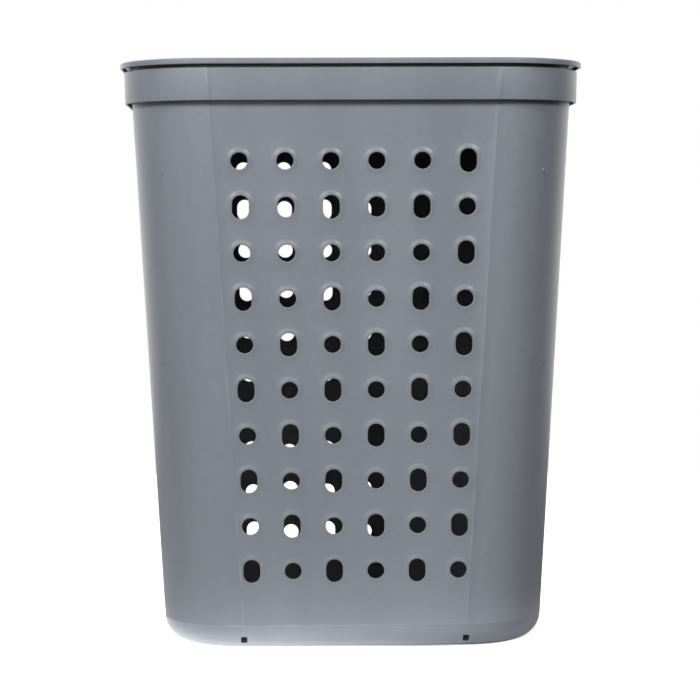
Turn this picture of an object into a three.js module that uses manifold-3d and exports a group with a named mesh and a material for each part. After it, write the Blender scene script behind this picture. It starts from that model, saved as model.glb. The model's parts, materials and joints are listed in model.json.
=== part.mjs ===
// A laundry hamper: a perforated tub, a lid hinged at the back and its two hinge pins.
// Units are millimetres. +X is to the right, +Y to the back and +Z up. The origin is on the
// floor, at the middle of the whole object's footprint.
import * as THREE from "three";
import { mergeVertices } from "three/addons/utils/BufferGeometryUtils.js";
import Module from "manifold-3d";

// Overall sizes. The rim is the band round the mouth of the tub.
const HEIGHT = 566.4;
const RIM_WIDTH = 440;
const RIM_DEPTH = 346;

// Tub wall. A lean is how far the wall comes in for each millimetre of height.
const WALL = 2.2;
const SIDE_LEAN = 0.0537;
const FRONT_LEAN = 0.0394;
const CORNER_RADIUS = 76;
const FLOOR_THICKNESS = 2.4;

// Foot: the fillet under the wall, the ring that stands on the floor and the recess inside it.
const FOOT_FILLET = 24;
const FOOT_RING = 8;
const FOOT_RECESS = 3;

// Rim band: a skirt that hangs outside the wall, joined to it along the top.
const BAND_HEIGHT = 30.9;
const BAND_REACH = 6.8;
const BAND_LEAN = 0.02;
const BAND_SKIRT = 2.2;
const BAND_TOP = 2.6;
const BAND_EDGE_RADIUS = 1.2;
const RIM_INNER_RADIUS = 1.2;

// Ventilation holes, cut straight through the front and the back.
// o is a round hole, O is a tall slot and m is a short slot.
const HOLE_PATTERN = [
  "oooooO",
  "OmOmOo",
  "oooooO",
  "OoOoOo",
  "oOoOoO",
  "OoOoOo",
  "oOoOoO",
  "OoOoOo",
  "oOoOoO",
  "OoOoOo",
];
const HOLE_DIAMETER = 16;
const HOLE_HEIGHTS = { o: HOLE_DIAMETER, m: 19, O: 22.3 };
const TOP_ROW_BELOW_BAND = 56.6;
const BOTTOM_ROW_ABOVE_FLOOR = 76.9;
const TOP_ROW_FROM_SIDE = 101.1;
const BOTTOM_ROW_FROM_SIDE = 89.4;

// Drain slots, low in the foot fillet, at both ends of the front and the back.
const DRAIN_WIDTH = 6;
const DRAIN_HEIGHT = 6.5;
const DRAIN_ABOVE_FLOOR = 0.8;
const DRAIN_FROM_SIDE = 78;

// Lid. Its lip hangs clear of the band by the shadow gap, and its seat rests on the inner part
// of the rim, round the locating ring that drops into the mouth.
const LID_OVERHANG = 3.8;
const LID_PLATE = 2.4;
const LID_EDGE = 4.7;
const LID_LIP = 2.4;
const LID_EDGE_RADIUS = 1.8;
const LID_CROWN = 2;
const LID_CROWN_WIDTH = 42;
const SHADOW_GAP = 3.8;
const SEAT_GAP = 0.3;
const SEAT_WIDTH = 3;
const LOCATING_RING_DROP = 7;
const LOCATING_RING_WALL = 1.8;
const LOCATING_RING_GAP = 1.5;

// Hinges.
const HINGE_FROM_SIDE = 110;
const PIN_DIAMETER = 4;
const PIN_CLEARANCE = 0.3;
const PIN_HEAD_DIAMETER = 7.5;
const PIN_HEAD = 1.6;
const PIN_TIP = 2.2;
const KNUCKLE_WIDTH = 22;
const KNUCKLE_RADIUS = 5;
const KNUCKLE_BEHIND_BAND = 1;
const KNUCKLE_UNDER_LID = 0.6;
const EAR_WIDTH = 4;
const EAR_GAP = 0.5;
const EAR_RIB_DROP = 17;
const STOP_NOSE = 3;
const STOP_NOSE_WIDTH = 4;
const OPEN_LIMIT_DEGREES = 105;
const STOP_CLEARANCE = 0.5;

// Roundness of the facets.
const CORNER_STEPS = 10;
const FILLET_STEPS = 5;
const EDGE_STEPS = 3;
const HOLE_STEPS = 3;
const EAR_STEPS = 5;
const PIN_STEPS = 20;

// Worked out from the above.
const LID_BOTTOM = HEIGHT - LID_CROWN - LID_EDGE;
const RIM_TOP = LID_BOTTOM - SHADOW_GAP;
const BAND_BOTTOM = RIM_TOP - BAND_HEIGHT;
const FLOOR_TOP = FOOT_RECESS + FLOOR_THICKNESS;
const BAND_BACK = RIM_DEPTH / 2;
const AXIS_Y = BAND_BACK + KNUCKLE_BEHIND_BAND + KNUCKLE_RADIUS;
const AXIS_Z = LID_BOTTOM - KNUCKLE_UNDER_LID - KNUCKLE_RADIUS;

// The stop nose is a bar with a round tip. NOSE_LENGTH runs from the hinge axis to the middle
// of that tip, and NOSE_DIP is how far the nose points below level at rest, chosen so that the
// tip meets the back of the band when the lid is fully open.
const NOSE_TIP = STOP_NOSE_WIDTH / 2;
const NOSE_LENGTH = KNUCKLE_RADIUS + STOP_NOSE - NOSE_TIP;
const STOP_REACH = KNUCKLE_BEHIND_BAND + KNUCKLE_RADIUS - STOP_CLEARANCE - NOSE_TIP;
const NOSE_DIP =
  Math.PI - Math.acos(STOP_REACH / NOSE_LENGTH) - THREE.MathUtils.degToRad(OPEN_LIMIT_DEGREES);
const BACK_OF_HINGE = AXIS_Y + NOSE_LENGTH * Math.cos(NOSE_DIP) + NOSE_TIP;
const CENTRE_SHIFT = (BACK_OF_HINGE - (RIM_DEPTH / 2 + LID_OVERHANG)) / 2;

const wasm = await Module();
wasm.setup();

// ---------------------------------------------------------------- solids

// A closed three.js geometry as a manifold-3d solid.
function solid(geometry) {
  const bare = geometry.clone();
  bare.deleteAttribute("normal");
  bare.deleteAttribute("uv");
  const merged = mergeVertices(bare, 1e-4);
  return new wasm.Manifold(
    new wasm.Mesh({
      numProp: 3,
      vertProperties: new Float32Array(merged.attributes.position.array),
      triVerts: new Uint32Array(merged.index.array),
    }),
  );
}

// A manifold-3d solid as a named three.js mesh.
function mesh(name, made, material) {
  const { numProp, vertProperties, triVerts } = made.getMesh();
  const positions = new Float32Array((vertProperties.length / numProp) * 3);
  for (let i = 0; i < positions.length / 3; i += 1) {
    positions.set(vertProperties.subarray(i * numProp, i * numProp + 3), i * 3);
  }
  const geometry = new THREE.BufferGeometry();
  geometry.setAttribute("position", new THREE.BufferAttribute(positions, 3));
  geometry.setIndex(new THREE.BufferAttribute(new Uint32Array(triVerts), 1));
  geometry.computeVertexNormals();
  const piece = new THREE.Mesh(geometry, material);
  piece.name = name;
  return piece;
}

// A flat outline in Y and Z, given thickness along X about the place x.
function plateAcross(shape, x, thickness) {
  const plate = new THREE.ExtrudeGeometry(shape, {
    depth: thickness,
    bevelEnabled: false,
    curveSegments: EAR_STEPS,
  });
  plate.rotateX(Math.PI / 2);
  plate.rotateZ(Math.PI / 2);
  plate.translate(x - thickness / 2, 0, 0);
  return solid(plate);
}

// ---------------------------------------------------------------- rounded sections

// The rounded rectangle at height z, anticlockwise seen from above.
function outline({ halfWidth, halfDepth, radius, z }) {
  const points = [];
  for (let quarter = 0; quarter < 4; quarter += 1) {
    const sideX = quarter === 0 || quarter === 3 ? 1 : -1;
    const sideY = quarter < 2 ? 1 : -1;
    for (let step = 0; step <= CORNER_STEPS; step += 1) {
      const angle = (quarter + step / CORNER_STEPS) * (Math.PI / 2);
      const x = sideX * (halfWidth - radius) + radius * Math.cos(angle);
      const y = sideY * (halfDepth - radius) + radius * Math.sin(angle);
      points.push(x, y, z);
    }
  }
  return points;
}

// One closed skin through a list of sections, from the middle of the underside, out, up and
// back in to the middle of the top.
function skin(sections) {
  const loops = sections.map(outline);
  const count = loops[0].length / 3;
  const positions = loops.flat();
  const bottomCentre = positions.length / 3;
  positions.push(0, 0, sections[0].z);
  positions.push(0, 0, sections.at(-1).z);
  const faces = [];
  const topLoop = (loops.length - 1) * count;
  for (let i = 0; i < count; i += 1) {
    const next = (i + 1) % count;
    faces.push(bottomCentre, next, i);
    faces.push(bottomCentre + 1, topLoop + i, topLoop + next);
    for (let low = 0; low < topLoop; low += count) {
      const high = low + count;
      faces.push(low + i, low + next, high + next);
      faces.push(low + i, high + next, high + i);
    }
  }
  const geometry = new THREE.BufferGeometry();
  geometry.setAttribute("position", new THREE.Float32BufferAttribute(positions, 3));
  geometry.setIndex(faces);
  return solid(geometry);
}

// Points of a quarter ellipse about (out, z). Angles are in quarter turns.
function quarterRound(out, z, reachOut, reachUp, from, to, steps) {
  return Array.from({ length: steps + 1 }, (_, step) => {
    const angle = (from + ((to - from) * step) / steps) * (Math.PI / 2);
    return [out + reachOut * Math.cos(angle), z + reachUp * Math.sin(angle)];
  });
}

// Half width and half depth of the wall's outer face at height z.
const WALL_AT_BAND = {
  halfWidth: RIM_WIDTH / 2 - BAND_REACH - BAND_LEAN * BAND_HEIGHT,
  halfDepth: RIM_DEPTH / 2 - BAND_REACH - BAND_LEAN * BAND_HEIGHT,
};

function wallAt(z) {
  return {
    halfWidth: WALL_AT_BAND.halfWidth - SIDE_LEAN * (BAND_BOTTOM - z),
    halfDepth: WALL_AT_BAND.halfDepth - FRONT_LEAN * (BAND_BOTTOM - z),
  };
}

// A section that lies out from the leaning wall, or in from it where out is negative.
function fromWall([out, z]) {
  const { halfWidth, halfDepth } = wallAt(Math.min(z, BAND_BOTTOM));
  return {
    halfWidth: halfWidth + out,
    halfDepth: halfDepth + out,
    radius: CORNER_RADIUS + out,
    z,
  };
}

// A section that lies in from the outer edge of the lid.
function fromLidEdge([inward, z]) {
  return {
    halfWidth: RIM_WIDTH / 2 + LID_OVERHANG - inward,
    halfDepth: RIM_DEPTH / 2 + LID_OVERHANG - inward,
    radius: CORNER_RADIUS + BAND_REACH + LID_OVERHANG - inward,
    z,
  };
}

// ---------------------------------------------------------------- tub

// How far the band's outer face stands out from the wall at height z.
function bandFace(z) {
  return BAND_REACH + BAND_LEAN * (z - BAND_BOTTOM);
}

function tubSkin() {
  const channelTop = RIM_TOP - BAND_TOP;
  const edgeZ = RIM_TOP - BAND_EDGE_RADIUS;
  const innerZ = RIM_TOP - RIM_INNER_RADIUS;
  const floorFillet = FOOT_FILLET - WALL;
  const profile = [
    [-FOOT_FILLET - FOOT_RING - FOOT_RECESS, FOOT_RECESS],
    [-FOOT_FILLET - FOOT_RING, 0],
    ...quarterRound(-FOOT_FILLET, FOOT_FILLET, FOOT_FILLET, FOOT_FILLET, -1, 0, FILLET_STEPS),
    [0, BAND_BOTTOM],
    [0, channelTop],
    [bandFace(channelTop) - BAND_SKIRT, channelTop],
    [bandFace(BAND_BOTTOM) - BAND_SKIRT, BAND_BOTTOM],
    [bandFace(BAND_BOTTOM), BAND_BOTTOM],
    ...quarterRound(
      bandFace(edgeZ) - BAND_EDGE_RADIUS,
      edgeZ,
      BAND_EDGE_RADIUS,
      BAND_EDGE_RADIUS,
      0,
      1,
      EDGE_STEPS,
    ),
    ...quarterRound(
      RIM_INNER_RADIUS - WALL,
      innerZ,
      -RIM_INNER_RADIUS,
      RIM_INNER_RADIUS,
      1,
      0,
      EDGE_STEPS,
    ),
    [-WALL, BAND_BOTTOM],
    ...quarterRound(
      -WALL - floorFillet,
      FOOT_FILLET,
      floorFillet,
      FOOT_FILLET - FLOOR_TOP,
      0,
      -1,
      FILLET_STEPS,
    ),
  ];
  return skin(profile.map(fromWall));
}

// Height and sideways places of every hole in the pattern, with its own height.
function holePlaces() {
  const rows = HOLE_PATTERN.length;
  const topZ = BAND_BOTTOM - TOP_ROW_BELOW_BAND;
  return HOLE_PATTERN.flatMap((row, rowIndex) => {
    const down = rowIndex / (rows - 1);
    const z = THREE.MathUtils.lerp(topZ, BOTTOM_ROW_ABOVE_FLOOR, down);
    const topReach = wallAt(topZ).halfWidth - TOP_ROW_FROM_SIDE;
    const bottomReach = wallAt(BOTTOM_ROW_ABOVE_FLOOR).halfWidth - BOTTOM_ROW_FROM_SIDE;
    const reach = THREE.MathUtils.lerp(topReach, bottomReach, down);
    return [...row].map((kind, column) => ({
      x: reach * ((2 * column) / (row.length - 1) - 1),
      z,
      height: HOLE_HEIGHTS[kind],
    }));
  });
}

// A straight cutter along Y with round ends above and below.
function holeCutter({ x, z, height }) {
  const radius = HOLE_DIAMETER / 2;
  const straight = (height - HOLE_DIAMETER) / 2;
  const shape = new THREE.Shape();
  shape.absarc(0, straight, radius, 0, Math.PI);
  shape.absarc(0, -straight, radius, Math.PI, 2 * Math.PI);
  const cutter = new THREE.ExtrudeGeometry(shape, {
    depth: 2 * RIM_DEPTH,
    bevelEnabled: false,
    curveSegments: HOLE_STEPS,
  });
  cutter.rotateX(Math.PI / 2);
  cutter.translate(x, RIM_DEPTH, z);
  return solid(cutter);
}

function drainCutters() {
  const z = FLOOR_TOP + DRAIN_ABOVE_FLOOR + DRAIN_HEIGHT / 2;
  const x = wallAt(z).halfWidth - DRAIN_FROM_SIDE;
  return [-x, x].map((place) => {
    const box = new THREE.BoxGeometry(DRAIN_WIDTH, 2 * RIM_DEPTH, DRAIN_HEIGHT);
    box.translate(place, 0, z);
    return solid(box);
  });
}

// ---------------------------------------------------------------- hinges

const HINGE_X = RIM_WIDTH / 2 - HINGE_FROM_SIDE;
const EAR_OFFSET = KNUCKLE_WIDTH / 2 + EAR_GAP + EAR_WIDTH / 2;

function boreCutter(x, length) {
  const radius = PIN_DIAMETER / 2 + PIN_CLEARANCE;
  const bore = new THREE.CylinderGeometry(radius, radius, length, PIN_STEPS);
  bore.rotateZ(Math.PI / 2);
  bore.translate(x, AXIS_Y, AXIS_Z);
  return solid(bore);
}

// An ear on the back of the band: round about the pin, with a rib running down to the band.
function ear(x) {
  const root = BAND_BACK - BAND_SKIRT / 2;
  const shape = new THREE.Shape();
  shape.moveTo(root, AXIS_Z - KNUCKLE_RADIUS - EAR_RIB_DROP);
  shape.lineTo(AXIS_Y + KNUCKLE_RADIUS * Math.SQRT1_2, AXIS_Z - KNUCKLE_RADIUS * Math.SQRT1_2);
  shape.absarc(AXIS_Y, AXIS_Z, KNUCKLE_RADIUS, -Math.PI / 4, Math.PI / 2);
  shape.lineTo(root, AXIS_Z + KNUCKLE_RADIUS);
  shape.closePath();
  return plateAcross(shape, x, EAR_WIDTH);
}

// The bar that stops the lid, at its rest angle on the knuckle.
function stopNose(x) {
  const bar = new THREE.BoxGeometry(KNUCKLE_WIDTH, NOSE_LENGTH, STOP_NOSE_WIDTH);
  bar.translate(0, NOSE_LENGTH / 2, 0);
  const tip = new THREE.CylinderGeometry(NOSE_TIP, NOSE_TIP, KNUCKLE_WIDTH, PIN_STEPS);
  tip.rotateZ(Math.PI / 2);
  tip.translate(0, NOSE_LENGTH, 0);
  const [barSolid, tipSolid] = [bar, tip].map((piece) => {
    piece.rotateX(-NOSE_DIP);
    piece.translate(x, AXIS_Y, AXIS_Z);
    return solid(piece);
  });
  return barSolid.add(tipSolid);
}

// A knuckle under the back edge of the lid: an arm, a barrel and the stop nose.
function knuckle(x) {
  const lidBack = RIM_DEPTH / 2 + LID_OVERHANG;
  const lidTop = LID_BOTTOM + LID_EDGE;
  const arm = new THREE.Shape();
  arm.moveTo(lidBack - LID_LIP, LID_BOTTOM);
  arm.lineTo(AXIS_Y - KNUCKLE_RADIUS, AXIS_Z);
  arm.absarc(AXIS_Y, AXIS_Z, KNUCKLE_RADIUS, Math.PI, 2 * Math.PI);
  arm.lineTo(AXIS_Y + KNUCKLE_RADIUS, LID_BOTTOM + LID_EDGE_RADIUS);
  arm.lineTo(AXIS_Y + KNUCKLE_RADIUS - LID_EDGE_RADIUS, lidTop - LID_EDGE_RADIUS);
  arm.lineTo(lidBack - LID_LIP, lidTop - LID_EDGE_RADIUS);
  arm.closePath();
  return plateAcross(arm, x, KNUCKLE_WIDTH).add(stopNose(x));
}

// A push-in pin, from its head outside one ear to the snap tip outside the other.
function pinGeometry() {
  const radius = PIN_DIAMETER / 2;
  const half = EAR_OFFSET + EAR_WIDTH / 2 + PIN_CLEARANCE;
  const profile = [
    [0, -half - PIN_HEAD],
    [PIN_HEAD_DIAMETER / 2 - PIN_HEAD / 3, -half - PIN_HEAD],
    [PIN_HEAD_DIAMETER / 2, -half - PIN_HEAD / 2],
    [PIN_HEAD_DIAMETER / 2, -half],
    [radius, -half],
    [radius, half],
    [radius + 2 * PIN_CLEARANCE, half],
    [radius - PIN_CLEARANCE, half + PIN_TIP],
    [0, half + PIN_TIP],
  ].map(([r, y]) => new THREE.Vector2(r, y));
  return new THREE.LatheGeometry(profile, PIN_STEPS);
}

// ---------------------------------------------------------------- assembly

function tub(material) {
  let made = tubSkin();
  for (const x of [-HINGE_X, HINGE_X]) {
    made = made.add(ear(x - EAR_OFFSET)).add(ear(x + EAR_OFFSET));
    made = made.subtract(boreCutter(x, 2 * EAR_OFFSET + 2 * EAR_WIDTH));
  }
  for (const cutter of [...holePlaces().map(holeCutter), ...drainCutters()]) {
    made = made.subtract(cutter);
  }
  return mesh("tub", made, material);
}

function lid(material) {
  const top = LID_BOTTOM + LID_EDGE;
  const underside = top - LID_PLATE;
  const ringOut = LID_OVERHANG + BAND_REACH + BAND_LEAN * BAND_HEIGHT + WALL + LOCATING_RING_GAP;
  const ringIn = ringOut + LOCATING_RING_WALL;
  const ringFoot = RIM_TOP - LOCATING_RING_DROP;
  const seat = RIM_TOP + SEAT_GAP;
  const crownIn = LID_EDGE_RADIUS + LID_CROWN_WIDTH;
  const profile = [
    [crownIn, underside + LID_CROWN],
    [ringIn, underside],
    [ringIn, ringFoot],
    [ringOut, ringFoot],
    [ringOut, seat],
    [ringOut - SEAT_WIDTH, seat],
    [ringOut - SEAT_WIDTH, underside],
    [LID_LIP, underside],
    [LID_LIP, LID_BOTTOM],
    [0, LID_BOTTOM],
    ...quarterRound(
      LID_EDGE_RADIUS,
      top - LID_EDGE_RADIUS,
      -LID_EDGE_RADIUS,
      LID_EDGE_RADIUS,
      0,
      1,
      EDGE_STEPS,
    ),
    [crownIn, top + LID_CROWN],
  ];
  let made = skin(profile.map(fromLidEdge));
  for (const x of [-HINGE_X, HINGE_X]) {
    made = made.add(knuckle(x)).subtract(boreCutter(x, KNUCKLE_WIDTH + EAR_GAP));
  }
  return mesh("lid", made, material);
}

function hingePin(name, x, material) {
  const geometry = pinGeometry();
  geometry.rotateZ((Math.sign(x) * Math.PI) / 2);
  const piece = mesh(name, solid(geometry), material);
  piece.position.set(x, AXIS_Y, AXIS_Z);
  return piece;
}

const polypropylene = new THREE.MeshStandardMaterial({
  name: "moulded polypropylene",
  color: "#8a8e97",
  roughness: 0.45,
  metalness: 0,
});
const acetal = new THREE.MeshStandardMaterial({
  name: "moulded acetal",
  color: "#7d818a",
  roughness: 0.35,
  metalness: 0,
});

const hamper = new THREE.Group();
hamper.name = "laundry_hamper";
hamper.position.y = -CENTRE_SHIFT;
hamper.add(tub(polypropylene));
hamper.add(lid(polypropylene));
hamper.add(hingePin("hinge_pin_left", -HINGE_X, acetal));
hamper.add(hingePin("hinge_pin_right", HINGE_X, acetal));

export default hamper;
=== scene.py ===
# %% [markdown]
# # A laundry hamper with a hinged lid
# A hamper like this is two large polypropylene mouldings, the tub and the lid, held together at
# the back by two push-in pins. The walls lean in towards the floor so that the tub comes off its
# mould and so that empty tubs nest. Every visible shape here is worked out with numpy as a
# surface of two parameters. That keeps the mesh even, and one formula gives both skins of a wall.

import json
from math import acos, atan2, cos, degrees, hypot, pi, radians, sin

import bmesh
import bpy
import numpy as np
from mathutils import Matrix, Vector


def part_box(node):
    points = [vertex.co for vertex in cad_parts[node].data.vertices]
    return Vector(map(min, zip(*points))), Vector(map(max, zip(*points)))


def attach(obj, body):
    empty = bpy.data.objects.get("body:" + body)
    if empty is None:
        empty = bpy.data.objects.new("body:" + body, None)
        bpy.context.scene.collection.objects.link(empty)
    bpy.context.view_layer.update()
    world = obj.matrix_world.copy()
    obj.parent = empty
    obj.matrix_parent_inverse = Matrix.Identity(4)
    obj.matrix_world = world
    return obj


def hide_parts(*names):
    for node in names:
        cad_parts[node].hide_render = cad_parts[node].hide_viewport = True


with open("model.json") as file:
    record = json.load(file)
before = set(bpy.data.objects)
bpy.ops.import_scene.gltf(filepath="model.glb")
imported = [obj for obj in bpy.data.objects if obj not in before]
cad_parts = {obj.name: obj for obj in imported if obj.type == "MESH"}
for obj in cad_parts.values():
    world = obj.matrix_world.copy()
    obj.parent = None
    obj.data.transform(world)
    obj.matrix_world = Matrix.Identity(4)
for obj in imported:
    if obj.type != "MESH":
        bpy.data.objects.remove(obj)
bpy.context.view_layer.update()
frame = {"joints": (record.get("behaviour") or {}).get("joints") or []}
MM = 0.001
tub_low, tub_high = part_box("tub")
lid_low, lid_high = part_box("lid")
print("tub", tuple(tub_low), tuple(tub_high))
print("lid", tuple(lid_low), tuple(lid_high))

# %% [markdown]
# ## Camera
# A hamper of this height is usually pictured from a few metres away with a long lens, so that
# its sides stay nearly parallel. The camera stands a little left of the middle, at about two
# thirds of the hamper's height, and looks slightly down.

# %% Camera
CAMERA_PLACE = Vector((-0.0751, -2.3852, 0.4035))
CAMERA_TURN = radians(1.823)
CAMERA_DIP = radians(2.944)
CAMERA_ROLL = radians(-0.267)
CAMERA_LENS = 120.55


def camera_axes(turn, dip, roll):
    """Right, up and backward directions of a camera that faces +Y, turned right, dipped and rolled."""
    ahead = Vector((sin(turn) * cos(dip), cos(turn) * cos(dip), -sin(dip)))
    right = Vector((cos(turn), -sin(turn), 0))
    up = right.cross(ahead)
    rolled_right = right * cos(roll) + up * sin(roll)
    rolled_up = up * cos(roll) - right * sin(roll)
    return Matrix((rolled_right, rolled_up, -ahead)).transposed()


camera_data = bpy.data.cameras.new("camera")
camera_data.lens = CAMERA_LENS
camera = bpy.data.objects.new("camera", camera_data)
camera.matrix_world = (
    Matrix.Translation(CAMERA_PLACE) @ camera_axes(CAMERA_TURN, CAMERA_DIP, CAMERA_ROLL).to_4x4()
)
bpy.context.scene.collection.objects.link(camera)
bpy.context.scene.camera = camera
bpy.context.scene.view_settings.view_transform = "Standard"

# %% [markdown]
# ## Node helpers
# Every material is a small graph. One function adds a node with its settings and links, and one
# turns an sRGB hex colour, as a paint chart gives it, into the linear values that Blender uses.


# %% Node helpers
def linear(hex_colour):
    """The linear RGBA of an sRGB hex colour: each channel through the sRGB curve."""
    srgb = np.array([int(hex_colour[i : i + 2], 16) for i in (1, 3, 5)]) / 255
    channels = np.where(srgb <= 0.04045, srgb / 12.92, ((srgb + 0.055) / 1.055) ** 2.4)
    return (*channels.tolist(), 1.0)


def add_node(tree, kind, settings=None, **inputs):
    """Add a node. Settings are its attributes, and inputs are its sockets by name, or by number as _0.

    A socket gets a value, or a link from another socket or from another node's first output.
    """
    node = tree.nodes.new(kind)
    for name, value in (settings or {}).items():
        setattr(node, name, value)
    for name, value in inputs.items():
        socket = node.inputs[int(name[1:])] if name[0] == "_" else node.inputs[name.replace("_", " ")]
        source = value.outputs[0] if isinstance(value, bpy.types.Node) else value
        if isinstance(source, bpy.types.NodeSocket):
            tree.links.new(source, socket)
        else:
            socket.default_value = source
    return node


def new_material(name):
    """A material with its output and its shader, and the Object coordinates to work from."""
    material = bpy.data.materials.new(name)
    material.use_nodes = True
    tree = material.node_tree
    tree.nodes.clear()
    shader = add_node(tree, "ShaderNodeBsdfPrincipled")
    add_node(tree, "ShaderNodeOutputMaterial", Surface=shader)
    place = add_node(tree, "ShaderNodeTexCoord").outputs["Object"]
    return material, tree, shader, place


# %% [markdown]
# ## Studio
# A pale plastic shows its form only where light is kept away from it. Two soft boxes stand high
# in front, one on each side, so the light that gets in through the holes falls on the side walls
# and the back wall stays dark between its own holes. A third, low box is mirrored in the polished
# front of the band. Two dim panels lie on the table, and the table glows round the foot. The
# surround is white to look at, but it lights the hamper only from behind, where a grazing
# reflection gives the round corners their thin pale edge.

# %% Floor
WHITE = (1, 1, 1, 1)
BLACK = (0, 0, 0, 1)
SMOOTH = {"interpolation_type": "SMOOTHSTEP"}
FLOOR_SIZE = 3.0
FLOOR_PAINT = "#f6f6f7"
FLOOR_ROUGHNESS = 0.9
PAINT_END = 0.2
CARDS_START = 0.28
CARD_SHADE = 0.04
FOOT_WIDTH_TO_DEPTH = 1.28
BACKLIT_START = 0.17
BACKLIT_FULL = 0.215
TABLE_GLOW_FULL = 0.2
TABLE_GLOW_END = 0.33
TABLE_GLOW_LEFT_X = -0.2
TABLE_GLOW_RIGHT_X = 0.12
TABLE_GLOW_LEFT = 1.75
TABLE_GLOW_RIGHT = 0.0


def floor_material():
    """Matte white paint over a light table, with black cards past the paint.

    Only the camera sees white there. To every other ray the floor past the paint is dark, so that
    little light comes from below. The table glows round the foot, more on the left, and the camera
    sees it glow evenly further out. The edges of the glow are ovals, as the foot is wider than deep.
    """
    material, tree, shader, place = new_material("painted_floor_matte")
    ray = add_node(tree, "ShaderNodeLightPath").outputs["Is Camera Ray"]
    distance = add_node(tree, "ShaderNodeVectorMath", {"operation": "LENGTH"}, _0=place).outputs["Value"]
    cards = add_node(
        tree, "ShaderNodeMapRange",
        Value=distance, From_Min=PAINT_END, From_Max=CARDS_START, To_Min=1, To_Max=CARD_SHADE,
    )
    lit = add_node(tree, "ShaderNodeMath", {"operation": "MAXIMUM"}, _0=cards, _1=ray)
    shade = add_node(tree, "ShaderNodeMix", {"data_type": "RGBA"}, _0=lit, _6=BLACK, _7=linear(FLOOR_PAINT))
    squeezed = add_node(tree, "ShaderNodeMapping", Vector=place, Scale=(1, FOOT_WIDTH_TO_DEPTH, 1))
    oval = add_node(tree, "ShaderNodeVectorMath", {"operation": "LENGTH"}, _0=squeezed).outputs["Value"]
    near = add_node(
        tree, "ShaderNodeMapRange", SMOOTH,
        Value=oval, From_Min=TABLE_GLOW_FULL, From_Max=TABLE_GLOW_END, To_Min=1, To_Max=0,
    )
    parts = add_node(tree, "ShaderNodeSeparateXYZ", Vector=place)
    sideways = add_node(
        tree, "ShaderNodeMapRange",
        Value=parts.outputs["X"], From_Min=TABLE_GLOW_LEFT_X, From_Max=TABLE_GLOW_RIGHT_X,
        To_Min=TABLE_GLOW_LEFT, To_Max=TABLE_GLOW_RIGHT,
    )
    foot_glow = add_node(tree, "ShaderNodeMath", {"operation": "MULTIPLY"}, _0=near, _1=sideways)
    backlit = add_node(
        tree, "ShaderNodeMapRange", SMOOTH, Value=oval, From_Min=BACKLIT_START, From_Max=BACKLIT_FULL
    )
    glow = add_node(
        tree, "ShaderNodeMath", {"operation": "MULTIPLY_ADD"}, _0=backlit, _1=ray, _2=foot_glow
    )
    shader.inputs["Roughness"].default_value = FLOOR_ROUGHNESS
    shader.inputs["Emission Color"].default_value = WHITE
    tree.links.new(shade.outputs[2], shader.inputs["Base Color"])
    tree.links.new(glow.outputs[0], shader.inputs["Emission Strength"])
    return material


def level_square(name, size):
    """An object that is one level square about the origin."""
    half = size / 2
    mesh = bpy.data.meshes.new(name)
    corners = [(-half, -half, 0), (half, -half, 0), (half, half, 0), (-half, half, 0)]
    mesh.from_pydata(corners, [], [(0, 1, 2, 3)])
    made = bpy.data.objects.new(name, mesh)
    bpy.context.scene.collection.objects.link(made)
    return made


floor = level_square("floor", FLOOR_SIZE)
floor.data.materials.append(floor_material())
print("floor", FLOOR_SIZE, "m wide, white paint to", PAINT_END, "m from the middle")

# %% Lights
KEY_AIM = (0.0, -0.05, 0.3)
BAND_AIM = (-0.1, -0.17, 0.5)
SOFT_BOX_SIZE = 0.8
TABLE_PANEL_SIZE = 0.9
TABLE_PANEL_REACH = 0.75
TABLE_PANEL_HEIGHT = 0.004
BACKLIGHT_START = 0.2
BACKLIGHT_FULL = 0.9
FRONT_SURROUND = 0.0
BACK_SURROUND = 2.1


def soft_box(name, place, target, size, power):
    """A square area light at a place, facing a target. The camera doesn't see it."""
    data = bpy.data.lights.new(name, "AREA")
    data.shape = "SQUARE"
    data.size = size
    data.energy = power
    lamp = bpy.data.objects.new(name, data)
    lamp.visible_camera = False
    lamp.location = place
    lamp.rotation_euler = (Vector(target) - Vector(place)).to_track_quat("-Z", "Y").to_euler()
    bpy.context.scene.collection.objects.link(lamp)


def table_panel(name, x, y, power):
    """A dim light that lies on the table and shines straight up."""
    soft_box(name, (x, y, TABLE_PANEL_HEIGHT), (x, y, 1.0), TABLE_PANEL_SIZE, power)


def studio_world():
    """White for the camera. For the light it is bright behind the hamper and dark everywhere else."""
    world = bpy.data.worlds.new("studio")
    bpy.context.scene.world = world
    world.use_nodes = True
    tree = world.node_tree
    tree.nodes.clear()
    direction = add_node(tree, "ShaderNodeTexCoord").outputs["Generated"]
    parts = add_node(tree, "ShaderNodeSeparateXYZ", Vector=direction)
    strength = add_node(
        tree, "ShaderNodeMapRange", SMOOTH,
        Value=parts.outputs["Y"], From_Min=BACKLIGHT_START, From_Max=BACKLIGHT_FULL,
        To_Min=FRONT_SURROUND, To_Max=BACK_SURROUND,
    )
    lighting = add_node(tree, "ShaderNodeBackground", Color=WHITE, Strength=strength)
    seen = add_node(tree, "ShaderNodeBackground", Color=WHITE)
    ray = add_node(tree, "ShaderNodeLightPath").outputs["Is Camera Ray"]
    mixed = add_node(tree, "ShaderNodeMixShader", _0=ray, _1=lighting, _2=seen)
    add_node(tree, "ShaderNodeOutputWorld", Surface=mixed)


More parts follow.
